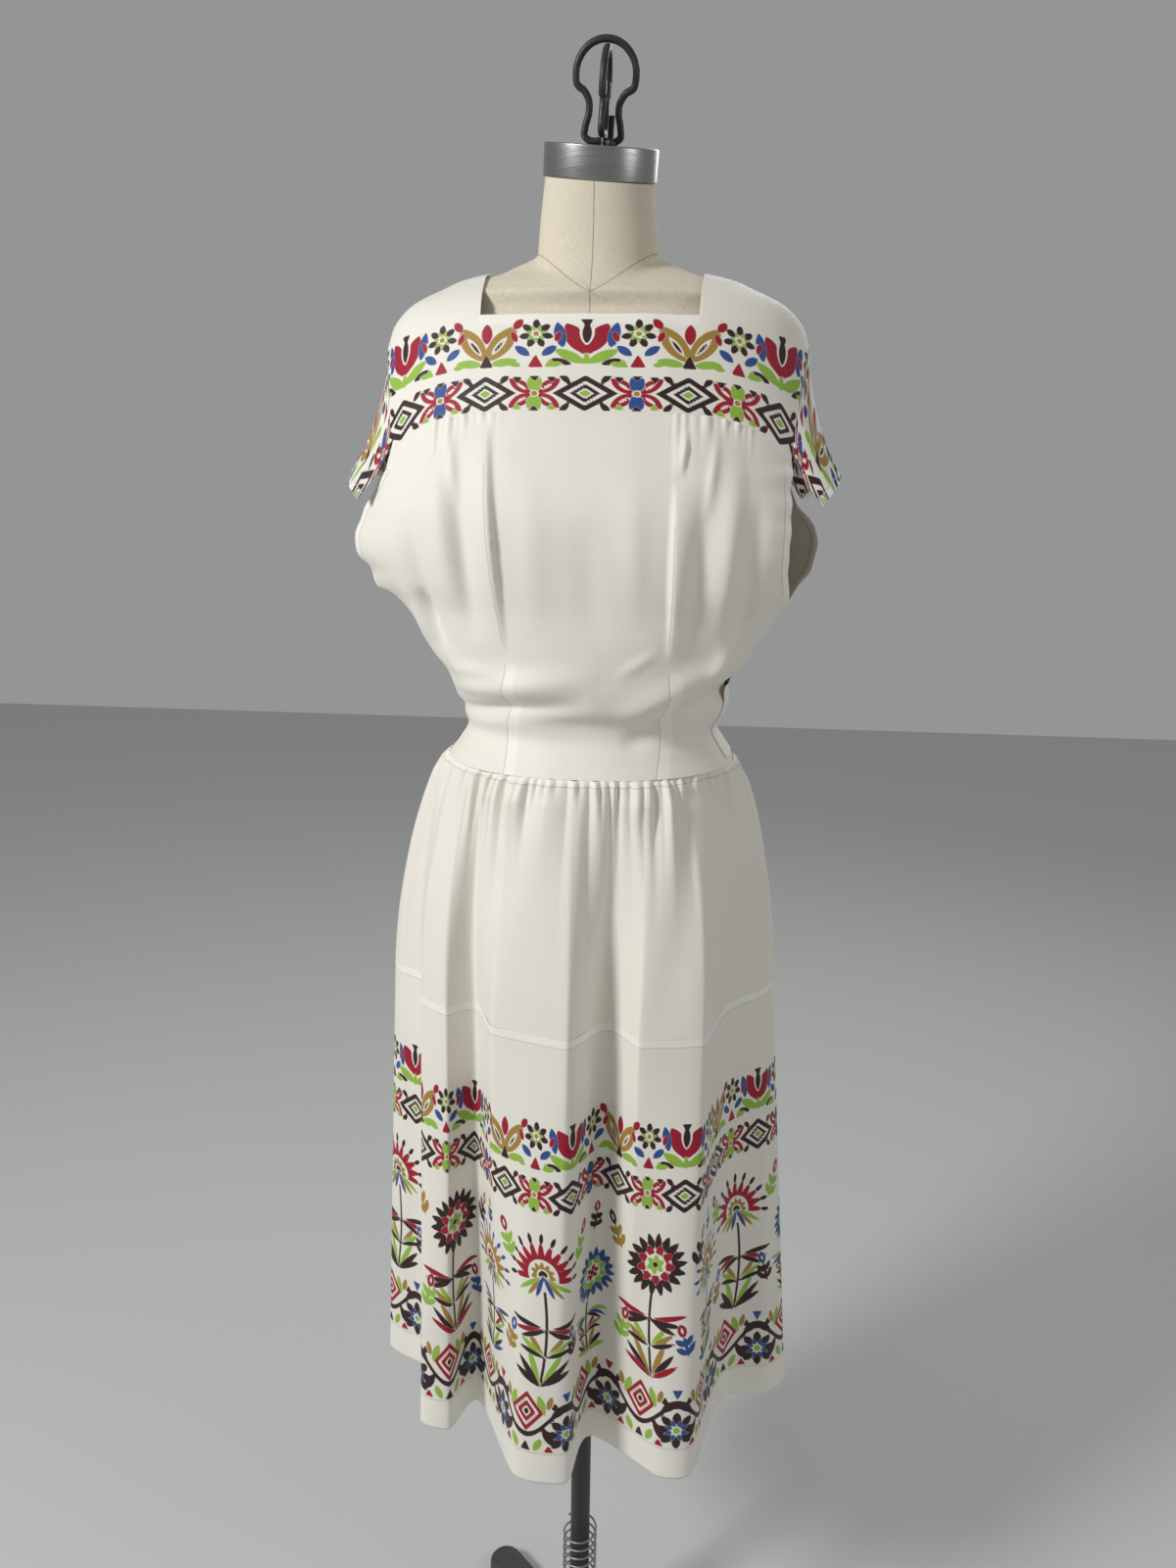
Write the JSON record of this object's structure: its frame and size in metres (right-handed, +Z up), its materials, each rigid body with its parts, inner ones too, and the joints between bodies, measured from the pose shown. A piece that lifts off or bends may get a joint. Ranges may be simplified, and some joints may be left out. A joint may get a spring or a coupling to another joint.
{
  "type": "drop waist dress on a dress form",
  "caption": "Drop waist dress with a square neck, cap sleeves and a gathered two-tier skirt, worn by a limbless dress form on a pole stand.",
  "frame": {"origin": "on the floor, on the flat underside of the stand's base, under the middle of the pole", "axes": "+Z up along the pole, -Y the front of the dress, +X the wearer's left"},
  "size_m": [0.464, 0.3419, 1.7961],
  "materials": {
    "crepe": "ivory crepe with a soft sheen, printed on the yoke, sleeves and lower tier",
    "linen": "tight natural linen cover",
    "steel": "brushed steel cap",
    "spring_steel": "dark oiled spring wire",
    "black_paint": "worn black paint",
    "iron": "dark grey cast iron"
  },
  "bodies": {
    "root": {"yoke_front": "crepe", "yoke_back": "crepe", "bodice_front": "crepe", "bodice_back": "crepe", "sleeve_left": "crepe", "sleeve_right": "crepe", "skirt_upper_front": "crepe", "skirt_upper_back": "crepe", "skirt_lower_front": "crepe", "skirt_lower_back": "crepe", "side_placket": "crepe", "form_torso": "linen", "neck_cap": "steel", "cap_loop_wide": "black_paint", "cap_loop_deep": "black_paint", "cap_bolt": "black_paint", "stand_pole": "black_paint", "stand_spring": "spring_steel", "stand_hub": "iron", "stand_base": "iron"}
  },
  "joints": []
}
